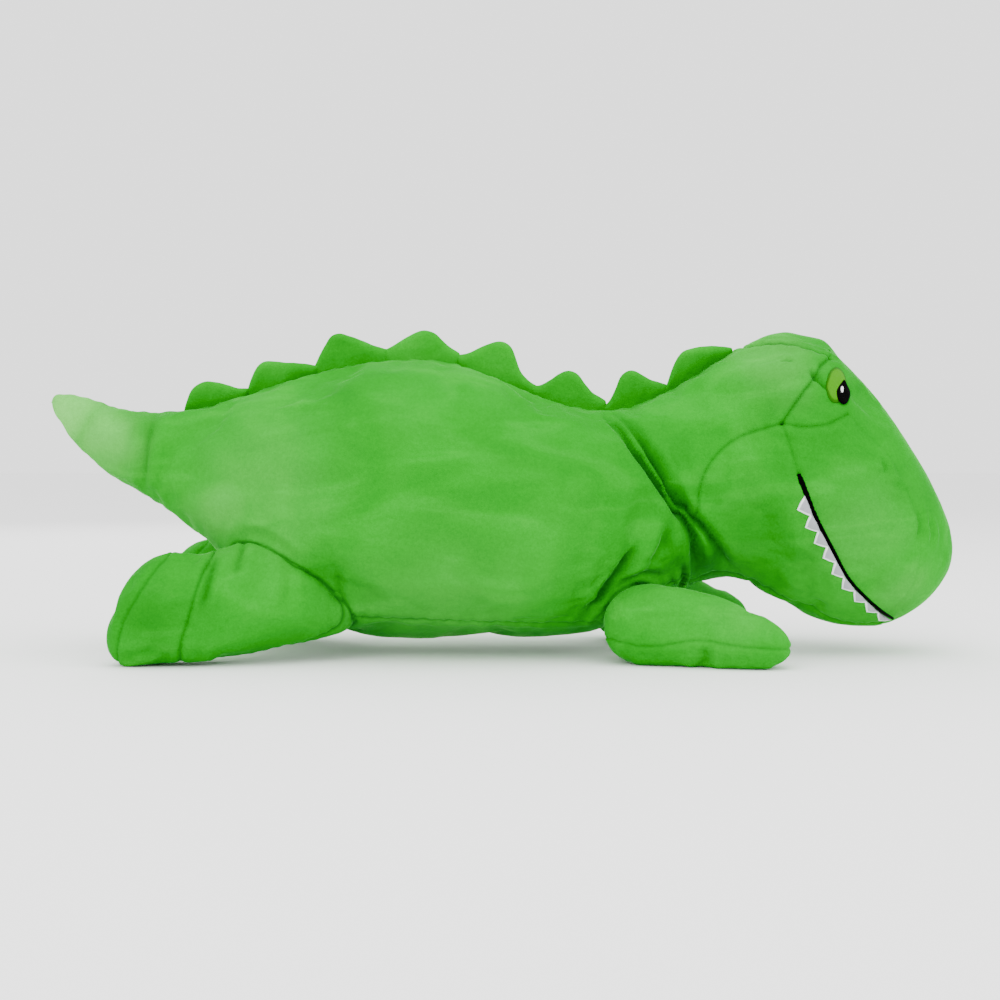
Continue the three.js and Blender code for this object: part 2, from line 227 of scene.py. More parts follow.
def makeThread(name, look):
    # satin stitch: fine rows of thread, another tone on the corded edge
    made, nodes, links = newMaterial(name)
    shader = nodes["Principled BSDF"]
    place = nodes.new("ShaderNodeTexCoord").outputs["Object"]
    slant = nodes.new("ShaderNodeMapping")
    setInputs(slant, {"Rotation": (0.0, 0.9, 0.0)})
    links.new(place, slant.inputs["Vector"])
    rows = nodes.new("ShaderNodeTexWave")
    setInputs(rows, {"Scale": 480, "Distortion": 1.2, "Detail": 1.0})
    links.new(slant.outputs["Vector"], rows.inputs["Vector"])
    edge = nodes.new("ShaderNodeAttribute")
    edge.attribute_name = "edgeNear"
    tone = mixColours(nodes, links, edge.outputs["Fac"], look["colour"], look["edge"])
    shade = rampNode(nodes, links, rows.outputs["Fac"], [(0.1, grey(0.7)), (0.8, grey(1.05))])
    links.new(mixColours(nodes, links, 0.6, tone, shade, "MULTIPLY"), shader.inputs["Base Color"])
    setInputs(shader, {"Roughness": look["roughness"], "Specular IOR Level": look["shine"]})
    links.new(bumpNode(nodes, links, rows.outputs["Fac"], 0.5, 0.0003), shader.inputs["Normal"])
    return made


# seams of the trunk, as [x, z] points in millimetres of the frame, alike on both sides

seamLines = {
    "cheek": [(127, 20), (124, 66), (125, 88), (126, 106), (131, 122), (141, 135), (155, 144), (178, 151)],
    "brow": [(178, 151), (189, 167), (200, 180), (206, 189), (214, 194)],
    "crown": [(150, 201), (160, 201), (176, 203), (190, 202), (204, 198), (214, 194)],
    "muzzleTop": [(178, 151), (188, 149), (196, 149), (208, 151), (220, 157)],
    "muzzleFront": [(220, 157), (232, 144), (246, 131), (260, 104), (268, 77), (265, 48), (250, 26)],
    "mouthTop": [(178, 151), (183, 136), (188, 119)],
    "mouth": [(188, 119), (194, 104), (199, 92), (208, 75), (222, 52), (234, 39), (250, 26)],
    "belly": [(-134, 24), (-105, 28), (-60, 26), (0, 24), (60, 24), (84, 36), (120, 52)],
}
seamStrength = {"cheek": 0.7, "brow": 1.0, "crown": 0.9, "muzzleTop": 0.65, "muzzleFront": 0.15,
                "mouthTop": 0.45, "mouth": 0.8, "belly": 1.0}
ridgeEnd = 158
tailSeamEnd = -128
throat = {"half": 24, "from": 118, "to": 252, "top": 62}
tailCrease = [(-227, 175), (-228, 157), (-230, 130), (-231, 85)]
neckCrease = [(62, 175), (67, 158), (77, 147), (99, 116), (119, 88), (125, 69), (128, 48), (129, 20)]


def smoothLine(points, step=5.0):
    # a Catmull-Rom curve through given points
    points = [np.array(p, float) for p in points]
    padded = [2 * points[0] - points[1], *points, 2 * points[-1] - points[-2]]
    line = []
    for a, b, c, d in zip(padded, padded[1:], padded[2:], padded[3:]):
        count = max(1, int(np.linalg.norm(c - b) / step))
        for t in np.arange(count) / count:
            line.append(0.5 * (2 * b + (c - a) * t + (2 * a - 5 * b + 4 * c - d) * t**2
                               + (3 * b - a - 3 * c + d) * t**3))
    return np.array([*line, points[-1]])


def pointAlong(line, share):
    # the place at a share of a line's length, and that length
    walked = np.concatenate([[0], np.cumsum(np.hypot(*(line[1:] - line[:-1]).T))])
    return np.array([np.interp(share * walked[-1], walked, line[:, k]) for k in range(2)]), walked[-1]


seams = {name: smoothLine(points) for name, points in seamLines.items()}


def lineField(spots, line):
    # distance to the line, how far along it the foot lies, and the direction away from it
    near = np.full(len(spots), 1e9)
    along = np.zeros(len(spots))
    away = np.zeros_like(spots)
    walked = 0.0
    for start, end in zip(line[:-1], line[1:]):
        run = end - start
        length = np.hypot(*run)
        share = np.clip((spots - start) @ run / length**2, 0, 1)
        out = spots - start - share[:, None] * run
        gap = np.hypot(out[:, 0], out[:, 1])
        closer = gap < near
        near[closer] = gap[closer]
        along[closer] = walked + share[closer] * length
        away[closer] = out[closer] / np.maximum(gap[closer], 1e-6)[:, None]
        walked += length
    return near, along, away, walked


def inside(spots, outline):
    # even-odd test of [x, z] spots against a closed outline
    found = np.zeros(len(spots), bool)
    for a, b in zip(outline, np.roll(outline, -1, axis=0)):
        if a[1] == b[1]:
            continue
        crosses = (a[1] > spots[:, 1]) != (b[1] > spots[:, 1])
        found ^= crosses & (spots[:, 0] < (b[0] - a[0]) * (spots[:, 1] - a[1]) / (b[1] - a[1]) + a[0])
    return found


def surfaceGap(spots, normals, line):
    # distance to a seam, measured over the surface and not across it
    near, along, away, length = lineField(spots[:, [0, 2]], line)
    facing = np.maximum(np.abs(normals[:, 1]), steepest)
    slope = (normals[:, 0] * away[:, 0] + normals[:, 2] * away[:, 1]) / facing
    return near * np.sqrt(1 + slope**2), along, length


def ripple(spots, size, seed=0.0):
    # smooth made-up unevenness between -1 and 1, the same at every run
    x, y, z = (spots / size).T
    waves = np.sin(1.7 * x + 1.1 * y + seed) * np.sin(1.3 * z - 0.6 * y + 2 * seed)
    finer = np.sin(2.9 * x - 2.3 * z + 3 * seed) * np.sin(3.1 * y + 2.1 * x + seed)
    return 0.65 * waves + 0.35 * finer


# meshes as tables of millimetres

def table(items, name, width=1, kind=float):
    values = np.empty(len(items) * width, kind)
    items.foreach_get(name, values)
    return values.reshape(-1, width) if width > 1 else values


def readMesh(piece):
    return table(piece.data.vertices, "co", 3) / mm, table(piece.data.vertices, "normal", 3)


def writeMesh(piece, spots, rests=False):
    if rests:
        spots[:, 2] = np.maximum(spots[:, 2], restHeight)
    piece.data.vertices.foreach_set("co", (spots * mm).ravel())
    piece.data.update()


def storeNumber(piece, name, values):
    attribute = piece.data.attributes.get(name) or piece.data.attributes.new(name, "FLOAT", "POINT")
    attribute.data.foreach_set("value", np.asarray(values, np.float32))


def newPiece(name, points, faces):
    mesh = bpy.data.meshes.new(name)
    mesh.from_pydata([Vector(p) * mm for p in points], [], faces)
    piece = bpy.data.objects.new(name, mesh)
    bpy.context.scene.collection.objects.link(piece)
    return piece


def copyPiece(piece, name):
    made = piece.copy()
    made.data = piece.data.copy()
    made.name = name
    bpy.context.scene.collection.objects.link(made)
    return made


def pick(piece):
    bpy.ops.object.select_all(action="DESELECT")
    piece.select_set(True)
    bpy.context.view_layer.objects.active = piece


def inEditMode(piece, change, **settings):
    pick(piece)
    bpy.ops.object.mode_set(mode="EDIT")
    bpy.ops.mesh.select_all(action="SELECT")
    change(**settings)
    bpy.ops.object.mode_set(mode="OBJECT")


def facesOutward(piece):
    inEditMode(piece, bpy.ops.mesh.normals_make_consistent, inside=False)


def modify(piece, kind, settings):
    # adds one modifier and applies it at once
    pick(piece)
    made = piece.modifiers.new(kind, kind)
    for name, value in settings.items():
        setattr(made, name, value)
    bpy.ops.object.modifier_apply(modifier=made.name)


def smoothShade(piece, angle):
    pick(piece)
    bpy.ops.object.shade_smooth_by_angle(angle=math.radians(angle))


def weigh(piece, name, weights):
    group = piece.vertex_groups.new(name=name)
    for index in np.nonzero(weights > lightest)[0]:
        group.add([int(index)], float(weights[index]), "REPLACE")


finer = {"levels": 2, "render_levels": 2}


def surfaceOf(piece):
    return BVHTree.FromPolygons([v.co / mm for v in piece.data.vertices],
                                [p.vertices for p in piece.data.polygons])


# stuffed forms

trunkShape = {
    "nodes": ["belly_panel", "crown_gusset", "snout_panel", "throat_gusset",
              *(part + "_panel_" + side for part in ("side", "tail", "skull", "cheek", "muzzle")
                for side in sides)],
    "rows": 64, "roundness": 2.25, "slack": 1.5, "rests": False, "voxel": 5.0, "pressure": 3.5, "cap": 5.0,
    "frames": 14,
}
armShape = {"nodes": ["arm_upper_", "arm_sole_"], "rows": 26, "roundness": 2.2, "slack": 1.0, "rests": True,
            "voxel": 4.0, "pressure": 3.0, "cap": 3.0, "frames": 10}
legShape = {**armShape, "nodes": ["leg_outer_", "leg_inner_", "foot_instep_", "foot_sole_"], "rows": 34}
sinkDepth = 4      # mm that a resting form is drawn below the floor before it is flattened
restHeight = 0.3   # mm between a resting form and the floor
clothLook = {"quality": 5, "mass": 0.25, "tension_stiffness": 18, "compression_stiffness": 18,
             "shear_stiffness": 6, "bending_stiffness": 0.6, "use_pressure": True, "shrink_min": -0.02,
             "vertex_group_mass": "seams", "pin_stiffness": 0.6}


def sliceFrame(nodeNames, count):
    # low, high, near and far side of the frame's solids at stations along X
    starts, ends = [], []
    for name in nodeNames:
        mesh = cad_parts[name].data
        points = np.array([v.co for v in mesh.vertices]) / mm
        edges = np.array([e.vertices for e in mesh.edges])
        starts.append(points[edges[:, 0]])
        ends.append(points[edges[:, 1]])
    a, b = np.concatenate(starts), np.concatenate(ends)
    first, last = a[:, 0].min(), a[:, 0].max()
    rows = []
    for step in range(1, count):
        x = (first + last) / 2 - (last - first) / 2 * math.cos(math.pi * step / count)
        crossed = (a[:, 0] - x) * (b[:, 0] - x) < 0
        share = (x - a[crossed, 0]) / (b[crossed, 0] - a[crossed, 0])
        cut = a[crossed] + share[:, None] * (b[crossed] - a[crossed])
        rows.append([x, cut[:, 2].min(), cut[:, 2].max(), cut[:, 1].min(), cut[:, 1].max()])
    rows = np.array(rows)
    for _ in range(2):
        rows[1:-1, 1:] = (rows[:-2, 1:] + 2 * rows[1:-1, 1:] + rows[2:, 1:]) / 4
    return rows, first, last


def stuffedForm(name, shape, nodeNames):
    rows, first, last = sliceFrame(nodeNames, shape["rows"])
    slack, ring = shape["slack"], 56
    turn = np.arange(ring) / ring * 2 * math.pi
    power = 2 / shape["roundness"]
    across, up = (np.sign(wave) * np.abs(wave)**power for wave in (np.sin(turn), np.cos(turn)))
    points, faces = [], []
    for x, low, high, near, far in rows:
        if shape["rests"] and low < 1:
            low -= sinkDepth
        half = max(0.5, (far - near) / 2 - slack)
        tall = max(0.5, (high - low) / 2 - slack)
        heights = (high + low) / 2 + up * tall
        if shape["rests"]:
            heights = np.maximum(heights, restHeight)
        points += [(x, (far + near) / 2 + a * half, b) for a, b in zip(across, heights)]
    count = len(rows)
    for i in range(count - 1):
        for j in range(ring):
            k = (j + 1) % ring
            faces.append((i * ring + j, i * ring + k, (i + 1) * ring + k, (i + 1) * ring + j))
    for x, row, start in ((first + slack, rows[0], 0), (last - slack, rows[-1], (count - 1) * ring)):
        points.append((x, (row[3] + row[4]) / 2, (row[1] + row[2]) / 2))
        faces += [(len(points) - 1, start + (j + 1) % ring, start + j) for j in range(ring)]
    piece = newPiece(name, points, faces)
    facesOutward(piece)
    return piece


def swell(piece, shape, pinOf):
    # the filling presses the cloth out between its seams, which hold it in
    pick(piece)
    piece.data.remesh_voxel_size = shape["voxel"] * mm
    bpy.ops.object.voxel_remesh()
    before, normals = readMesh(piece)
    weigh(piece, "seams", pinOf(before, normals))
    cloth = piece.modifiers.new("Cloth", "CLOTH")
    for key, value in {**clothLook, "uniform_pressure_force": shape["pressure"]}.items():
        setattr(cloth.settings, key, value)
    cloth.settings.effector_weights.gravity = 0
    for number in range(1, shape["frames"] + 1):
        bpy.context.scene.frame_set(number)
    bpy.ops.object.modifier_apply(modifier="Cloth")
    bpy.context.scene.frame_set(1)
    after, _ = readMesh(piece)
    move = after - before
    far = np.linalg.norm(move, axis=1)
    after = before + move * np.minimum(1, shape["cap"] / np.maximum(far, 1e-6))[:, None]
    print("swell", piece.name, "mean", round(float(far.mean()), 2), "most", round(float(far.max()), 2))
    piece.vertex_groups.clear()
    writeMesh(piece, after, shape["rests"])


# seams and folds pressed into the forms, with painted shade in their grooves

# dark: strength of the painted shade in a seam's groove
seamLook = {"depth": 1.5, "width": 1.3, "puff": 0.7, "puffAt": 5.5, "pucker": 0.3, "puckerPitch": 8.5,
            "dark": 0.6}
# dark: strength of the painted shade in the groove where a limb is sewn on
jointLooks = {
    "arm": {"depth": 3.4, "width": 3.2, "puff": 1.0, "puffAt": 10, "dark": 0.7,
            "fillet": 4, "filletReach": 14},
    "leg": {"depth": 1.1, "width": 1.2, "puff": 0.4, "puffAt": 6, "dark": 0.75,
            "fillet": 8, "filletReach": 26},
}
joinReach = 16  # mm within which a sewn-on limb shapes the body, and the body the limb


def foldTable(*rows):
    # each row is a fold: depth, width, the rise beside it and how far off that is, the painted shade in its
    # valley, [x, z] points
    return [dict(zip(("depth", "width", "rise", "riseAt", "dark", "line"), row)) for row in rows]


def bumpTable(*rows):
    return [dict(zip(("place", "size", "rise"), row)) for row in rows]


trunkFolds = foldTable(
    # the neck pressed into deep folds behind the jaw
    (11, 3.4, 2.4, 9, 0.9, [(67, 160), (70, 154), (77, 147), (88, 132), (99, 116), (111, 98), (119, 86),
        (125, 72), (127, 50)]),
    (11, 3, 1.8, 8, 0.9, [(73, 158), (84, 149), (95, 134), (106, 116), (117, 98), (128, 86), (136, 76),
        (144, 62), (150, 54)]),
    (5, 2.6, 0.6, 6, 0.7, [(112, 99), (119, 89), (126, 79), (130, 71)]),
    (3.5, 2.4, 1, 6, 0.6, [(117, 62), (119, 52), (118, 42)]),
    # folds that fan out over the arm
    (7, 3.6, 2.4, 9, 0.8, [(52, 24), (60, 36), (70, 50), (80, 66), (86, 78)]),
    (3.5, 3, 1.4, 7, 0.5, [(70, 44), (80, 52), (92, 56), (104, 54)]),
    (2.6, 6, 1.6, 13, 0, [(76, 62), (86, 86), (92, 112)]),
    (2.4, 7, 1.4, 15, 0, [(48, 56), (60, 88), (66, 124)]),
    (3, 4.5, 1.6, 9, 0.3, [(92, 58), (102, 72), (108, 90)]),
    # the tail's root, the hip, the crown and the snout
    (3.2, 3.6, 2.2, 8, 0.35, [(-227, 160), (-229, 146), (-231, 128), (-232, 108)]),
    (0.9, 9, 0.5, 16, 0, [(-205, 150), (-200, 120), (-204, 92)]),
    (0.8, 5, 1.6, 6, 0, [(-164, 82), (-152, 81), (-138, 75), (-128, 66)]),
    (2.2, 3, 1, 7, 0.3, [(-104, 60), (-102, 46), (-103, 34)]),
    (1.4, 2, 0.9, 4, 0, [(152, 203), (172, 206), (192, 205)]),
    (1.2, 2, 0.8, 4, 0, [(160, 207), (180, 209), (200, 206)]),
    (1.6, 1.4, 0.9, 4, 0.4, [(179, 191), (183, 192), (188, 191)]),
    (3.4, 2, 1, 5, 0.7, [(198, 186), (200, 181), (204, 177), (208, 172)]),
    (1.6, 2, 1, 5, 0.25, [(241, 129), (244, 123), (243, 119)]),
    (1.4, 2, 1, 5, 0, [(246, 113), (253, 111), (258, 106)]),
    (1.6, 2.2, 1.2, 6, 0.2, [(264, 98), (268, 88), (266, 76)]),
    (1.2, 2, 1, 5, 0, [(273, 92), (277, 80), (275, 70)]),
)
trunkBumps = bumpTable(
    ((190, -4, 211), 17, 3.4), ((215, -8, 204), 11, 3.6), ((200, -4, 209), 6, -1.2), ((92, -82, 74), 16, 3),
    ((92, 82, 74), 16, 3), ((242, 0, 188), 34, -5), ((272, 0, 150), 34, -3.5), ((298, 0, 96), 30, -2.5),
    ((148, 0, 46), 22, -4.5), ((148, -34, 47), 20, -4), ((148, 34, 47), 20, -4),
)
legFolds = foldTable(
    (2.6, 2.4, 1.2, 6, 0.4, [(-161, 78), (-162, 66), (-163, 56)]),
    (1.4, 3.6, 0.9, 8, 0, [(-131, 62), (-130, 48), (-132, 34)]),
    (0.9, 3.6, 0.6, 8, 0, [(-146, 70), (-147, 58), (-149, 46)]),
    (3.2, 2.6, 1.8, 6, 0.5, [(-176, 72), (-178, 62), (-180, 48), (-184, 34)]),
    (1.6, 3.6, 1, 7, 0, [(-236, 4), (-222, 8), (-208, 14)]),
)
legBumps = bumpTable(*(
    ((x, side * y, z), size, rise) for side in sides.values()
    for x, y, z, size, rise in ((-200, 80, 0, 20, -3.5), (-174, 76, 2, 18, -2.5), (-120, 62, 14, 16, 2))
))
armFolds = foldTable(
    (4, 4, 1.2, 8, 0.2, [(124, -4), (126, 6), (124, 14)]),
    (1.2, 6, 0.8, 11, 0, [(82, 42), (88, 28), (84, 14)]),
)
legSeams = {"ankle": [(-176, 92), (-179.5, 67), (-183, 58), (-187.5, 44), (-191, 30), (-196, 15), (-199, -8)],
            "foot": [(-196, 92), (-203.5, 72), (-211.5, 62), (-218, 52.5), (-224, 42), (-231, 30), (-236, 12),
                     (-238, -8)]}
seamStrength.update({"ankle": 0.8, "foot": 0.6, "edge": 0.5})
armSeams = {"edge": [(50, 18), (70, 16), (92, 13), (122, 18), (146, 15), (190, 12)]}
legInseam = 70
footStart = -182


def foldMove(spots, normals, fold):
    near, along, length = surfaceGap(spots, normals, smoothLine(fold["line"], 4.0))
    taper = np.clip(np.minimum(along, length - along) / (0.3 * length) + 0.12, 0, 1)
    valley = np.exp(-(near / fold["width"])**1.5)
    roll = np.exp(-((near - fold["riseAt"]) / (0.55 * fold["riseAt"]))**2)
    taper *= np.clip(np.abs(normals[:, 1]) * 2.2, 0, 1)
    # painted shade: the fold's valley is darkened in colour
    shade = fold["dark"] * taper * np.exp(-(near / (0.6 * fold["width"]))**2)
    return taper * fold["rise"] * roll, taper * fold["depth"] * valley, shade


def seamMove(near, along, strength):
    groove = np.exp(-(near / seamLook["width"])**2)
    puff = np.exp(-((near - seamLook["puffAt"]) / 4.0)**2)
    wave = np.sin(along * 2 * math.pi / seamLook["puckerPitch"] + 2.2 * np.sin(along / 19.0))
    pucker = np.exp(-((near - 2.5) / 3.5)**2) * wave
    move = seamLook["puff"] * puff - seamLook["depth"] * groove + seamLook["pucker"] * pucker
    # the second value is painted shade along the seam's groove
    return strength * move, strength * seamLook["dark"] * np.exp(-(near / 1.1)**2)


def ridgeGap(spots, normals):
    # distance to the centre seam of the back and of the tail's underside
    onTop = (normals[:, 2] > 0.2) & (spots[:, 0] < ridgeEnd)
    underTail = (normals[:, 2] < -0.2) & (spots[:, 0] < tailSeamEnd)
    return np.where(onTop | underTail, np.abs(spots[:, 1]), unreached)


def throatGap(spots, normals):
    beneath = (normals[:, 2] < -0.3) & (spots[:, 0] > throat["from"]) & (spots[:, 0] < throat["to"])
    return np.where(beneath, np.abs(np.abs(spots[:, 1]) - throat["half"]), unreached)


def trunkPins(spots, normals):
    weight = np.exp(-(ridgeGap(spots, normals) / 5)**2)
    for name, line in seams.items():
        near, _, _ = surfaceGap(spots, normals, line)
        weight = np.maximum(weight, min(1, 1.2 * seamStrength[name]) * np.exp(-(near / 4.5)**2))
    return weight


def limbPins(lines):
    def pinOf(spots, normals):
        weight = np.zeros(len(spots))
        for line in lines.values():
            near, _, _ = surfaceGap(spots, normals, smoothLine(line))
            weight = np.maximum(weight, np.exp(-(near / 4)**2))
        return np.maximum(weight, spots[:, 2] < 1.5)
    return pinOf


def gapTo(spots, other, reach):
    # distance to another form, as far as it reaches
    near = np.full(len(spots), unreached)
    corners = np.array([v.co for v in other["piece"].data.vertices]) / mm
    low, high = corners.min(0) - reach, corners.max(0) + reach
    for index in np.nonzero(((spots > low) & (spots < high)).all(1))[0]:
        found = other["surface"].find_nearest(Vector(spots[index]), reach)
        if found[0] is not None:
            near[index] = found[3]
    return near


def softenCorner(piece, others, rests):
    # cloth is drawn smoothly from the body onto a limb, and does not meet it in a sharp corner
    spots, normals = readMesh(piece)
    move = np.zeros(len(spots))
    for other in others:
        look = jointLooks[other["kind"]]
        near = gapTo(spots, other, look["filletReach"])
        move += look["fillet"] * np.clip(1 - near / look["filletReach"], 0, 1)**2
    spots = spots + normals * move[:, None]
    writeMesh(piece, spots, rests)


def pinchMove(spots, others):
    # the groove where a limb is sewn to the body, on both of them, and the painted shade in it
    move, dark = np.zeros(len(spots)), np.zeros(len(spots))
    for other in others:
        look = jointLooks[other["kind"]]
        near = gapTo(spots, other, joinReach)
        groove = np.exp(-(near / look["width"])**1.6)
        puff = np.exp(-((near - look["puffAt"]) / 5.0)**2)
        move += look["puff"] * puff - look["depth"] * groove
        # painted shade along the limb's groove
        dark = np.maximum(dark, look["dark"] * np.exp(-(near / 1.1)**2))
    return move, dark


napAndLightSpots = {
    # where the pile lies brushed up, pale, or down, dark, with painted highlight on the tail and crown and
    # painted shadow on the chest under the jaw: place in X and Z, radius and strength
    "napUpAndHighlight": [((-292, 160), 26, 0.75), ((-262, 142), 26, 0.45), ((-150, 112), 46, 0.14),
              ((175, 192), 26, 0.2), ((228, 84), 34, 0.12), ((-178, 96), 22, 0.25),
              ((-40, 18), 60, 0.14), ((258, 44), 20, 0.16), ((150, 36), 20, 0.1)],
    "napDownAndShade": [((134, 62), 15, 0.8), ((62, 100), 34, 0.2), ((158, 92), 30, 0.3), ((170, 168), 18, 0.3),
                ((-215, 34), 17, 0.35), ((15, 110), 26, 0.14), ((-70, 150), 22, 0.18),
                ((118, 66), 10, 0.4)],
}


def detail(piece, lines, planeGaps, folds, bumps, others, rests):
    spots, normals = readMesh(piece)
    move, dark = pinchMove(spots, others)
    move += 0.5 * ripple(spots, 26, 0.4) + 0.22 * ripple(spots, 11, 1.9)
    sewn = [(*surfaceGap(spots, normals, line)[:2], seamStrength[name]) for name, line in lines.items()]
    sewn += [(gapOf(spots, normals), spots[:, 0], 1.0) for gapOf in planeGaps]
    for near, along, strength in sewn:
        shift, shade = seamMove(near, along, strength)
        move += shift
        dark = np.maximum(dark, shade)
    valley = np.zeros(len(spots))
    for fold in folds:
        roll, dip, shade = foldMove(spots, normals, fold)
        move += roll
        valley = np.maximum(valley, dip)
        dark = np.maximum(dark, shade)
    move += bumpMove(spots, bumps) - valley
    napAndLight = {name: np.zeros(len(spots)) for name in napAndLightSpots}
    for name, places in napAndLightSpots.items():
        for (x, z), radius, strength in places:
            far = np.hypot(spots[:, 0] - x, spots[:, 2] - z) + 5 * ripple(spots, 12, 2.7)
            napAndLight[name] = np.maximum(napAndLight[name], strength * np.exp(-np.maximum(far / radius, 0)**2.5))
    spots = spots + normals * move[:, None]
    writeMesh(piece, spots, rests)
    weigh(piece, "folds", np.clip(valley / 3, 0, 1))
    modify(piece, "SMOOTH", {"factor": 0.5, "iterations": 4, "vertex_group": "folds"})
    piece.vertex_groups.clear()
    # painted shade of grooves and folds, and nap spots holding painted highlight and shade, kept for the
    # material
    for name, values in {"seamNear": dark, **napAndLight}.items():
        storeNumber(piece, name, values)


# panels: each form is cut along its seams into the pieces of cloth that it is sewn from

clothThickness = 1.8
snapReach = 2.6
creaseAngles = {"cloth": 62, "fibre": 50, "fin": 60, "stitch": 70}


def leftOf(line):
    # the outline of all that lies at smaller x than a line drawn from top to bottom
    return np.array([(-beyond, -beyond), (line[-1][0], -beyond), *line[::-1], (line[0][0], beyond),
                     (-beyond, beyond)])


def cutTrunk(spots):
    flat = spots[:, [0, 2]]
    side = np.where(spots[:, 1] < 0, "right", "left").astype(object)
    cheekUp, browUp, crownBack = seams["cheek"], seams["brow"], seams["crown"][::-1]
    mouthDown = [*seams["mouthTop"], *seams["mouth"]]
    muzzleDown = [*seams["muzzleTop"], *seams["muzzleFront"]]
    tail = inside(flat, leftOf(smoothLine(tailCrease)))
    rear = inside(flat, leftOf(smoothLine(neckCrease)))
    belly = inside(flat, np.array([(-132, -beyond), *seams["belly"], (140, -beyond)]))
    skull = inside(flat, np.array([(0, -beyond), (cheekUp[0][0], -beyond), *cheekUp, *browUp, *crownBack,
                                   (crownBack[-1][0], beyond), (0, beyond)]))
    crown = inside(flat, np.array([(seams["crown"][0][0], beyond), *seams["crown"], (262, beyond)]))
    cheek = inside(flat, np.array([(cheekUp[0][0], -beyond), *cheekUp, *mouthDown, (254, -beyond)]))
    muzzle = inside(flat, np.array([*muzzleDown, *mouthDown[::-1]]))
    throatHere = (np.abs(spots[:, 1]) < throat["half"]) & (spots[:, 2] < throat["top"]) & (skull | cheek)
    named = np.full(len(spots), "snout_panel", dtype=object)
    for panel, where in (("muzzle_panel_", muzzle), ("cheek_panel_", cheek), ("skull_panel_", skull)):
        named[where] = panel + side[where]
    named[crown] = "crown_gusset"
    named[throatHere] = "throat_gusset"
    named[rear] = "side_panel_" + side[rear]
    named[rear & belly] = "belly_panel"
    named[tail] = "tail_panel_" + side[tail]
    return named


def cutArm(name):
    def nameOf(spots):
        edge = smoothLine(armSeams["edge"])
        upper = spots[:, 2] > np.interp(spots[:, 0], edge[:, 0], edge[:, 1])
        return np.where(upper, "arm_upper_" + name, "arm_sole_" + name)
    return nameOf


def cutLeg(name):
    def nameOf(spots):
        flat = spots[:, [0, 2]]
        outer = np.abs(spots[:, 1]) > legInseam
        foot = inside(flat, leftOf(smoothLine(legSeams["ankle"])))
        sole = inside(flat, leftOf(smoothLine(legSeams["foot"])))
        legs = np.where(outer, "leg_outer_" + name, "leg_inner_" + name)
        return np.where(sole, "foot_sole_" + name, np.where(foot, "foot_instep_" + name, legs))
    return nameOf


def splitPanels(piece, labelOf, borders):
    # one object for each panel, with the edge vertices drawn onto the seam between panels
    mesh = piece.data
    labels = labelOf(table(mesh.polygons, "center", 3) / mm).astype(str)
    names, codes = np.unique(labels, return_inverse=True)
    spots, _ = readMesh(piece)
    starts, sizes = (table(mesh.polygons, name, 1, int) for name in ("loop_start", "loop_total"))
    corners = table(mesh.loops, "vertex_index", 1, int)
    owner = np.repeat(codes, sizes)
    lowest = np.full(len(spots), len(names))
    highest = np.full(len(spots), -1)
    np.minimum.at(lowest, corners, owner)
    np.maximum.at(highest, corners, owner)
    edge = np.nonzero(lowest != highest)[0]
    spots[edge] = snapTo(spots[edge], borders)
    numbers = {name: table(mesh.attributes[name].data, "value", 1, np.float32)
               for name in ("seamNear", *napAndLightSpots)}
    made = {}
    for code, name in enumerate(names):
        faces = [corners[starts[i]:starts[i] + sizes[i]] for i in np.nonzero(codes == code)[0]]
        used = np.unique(np.concatenate(faces))
        renumber = np.full(len(spots), -1)
        renumber[used] = np.arange(len(used))
        made[name] = newPiece(name + "_cloth", spots[used], [list(renumber[f]) for f in faces])
        for number, values in numbers.items():
            storeNumber(made[name], number, values[used])
    bpy.data.objects.remove(piece)
    return made


def snapTo(spots, borders):
    # draws points to the nearest border: a line in X and Z, or a plane across Y
    best = np.full(len(spots), snapReach)
    moved = spots.copy()
    found = []
    for line in borders["lines"]:
        near, _, away, _ = lineField(spots[:, [0, 2]], line)
        found.append((near, spots - np.insert(away * near[:, None], 1, 0, axis=1)))
    for plane in borders["planes"]:
        found.append((np.abs(spots[:, 1] - plane), spots * (1, 0, 1) + (0, plane, 0)))
    for near, drawn in found:
        closer = near < best
        moved[closer] = drawn[closer]
        best[closer] = near[closer]
    return moved


def finishPanel(panel, node):
    # gives the cloth its thickness, inwards, and its material
    modify(panel, "SOLIDIFY", {"thickness": clothThickness * mm, "offset": -1})
    smoothShade(panel, creaseAngles["cloth"])
    finish(panel, node, pileCloth)


def finish(piece, node, material):
    piece.data.materials.clear()
    piece.data.materials.append(material)
    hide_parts(node)


# a piece's placement baked into its mesh


def bend(piece):
    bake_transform(piece)


# filling

fillingLook = {"inset": 4.5, "lump": 1.2, "lumpSize": 14, "voxel": 5, "foldInset": 1.25}


def bumpMove(spots, bumps):
    move = np.zeros(len(spots))
    for bump in bumps:
        far = np.linalg.norm(spots - np.array(bump["place"]), axis=1)
        move += bump["rise"] * np.exp(-(far / bump["size"])**2)
    return move


def addFilling(form, folds, bumps, cuts):
    # a lumpy mass of fibre inside the cloth, cut square where one body ends and the next starts
    spots, normals = readMesh(form)
    inset = fillingLook["inset"] - fillingLook["lump"] * ripple(spots, fillingLook["lumpSize"], 0.9)
    valley = np.max([foldMove(spots, normals, fold)[1] for fold in folds], axis=0)
    valley -= np.minimum(0, bumpMove(spots, bumps))
    writeMesh(form, spots - normals * (inset + fillingLook["foldInset"] * valley)[:, None])
    pick(form)
    form.data.remesh_voxel_size = fillingLook["voxel"] * mm
    bpy.ops.object.voxel_remesh()
    made = {}
    for node, (low, high) in cuts.items():
        made[node] = copyPiece(form, node + "_fibre")
        for plane, outward in ((low, (-1, 0, 0)), (high, (1, 0, 0))):
            if plane is not None:
                inEditMode(made[node], bpy.ops.mesh.bisect, plane_co=(plane * mm, 0, 0), plane_no=outward,
                           use_fill=True, clear_outer=True)
        smoothShade(made[node], creaseAngles["fibre"])
        finish(made[node], node, fibreFill)
    bpy.data.objects.remove(form)
    return made


# fins of the back

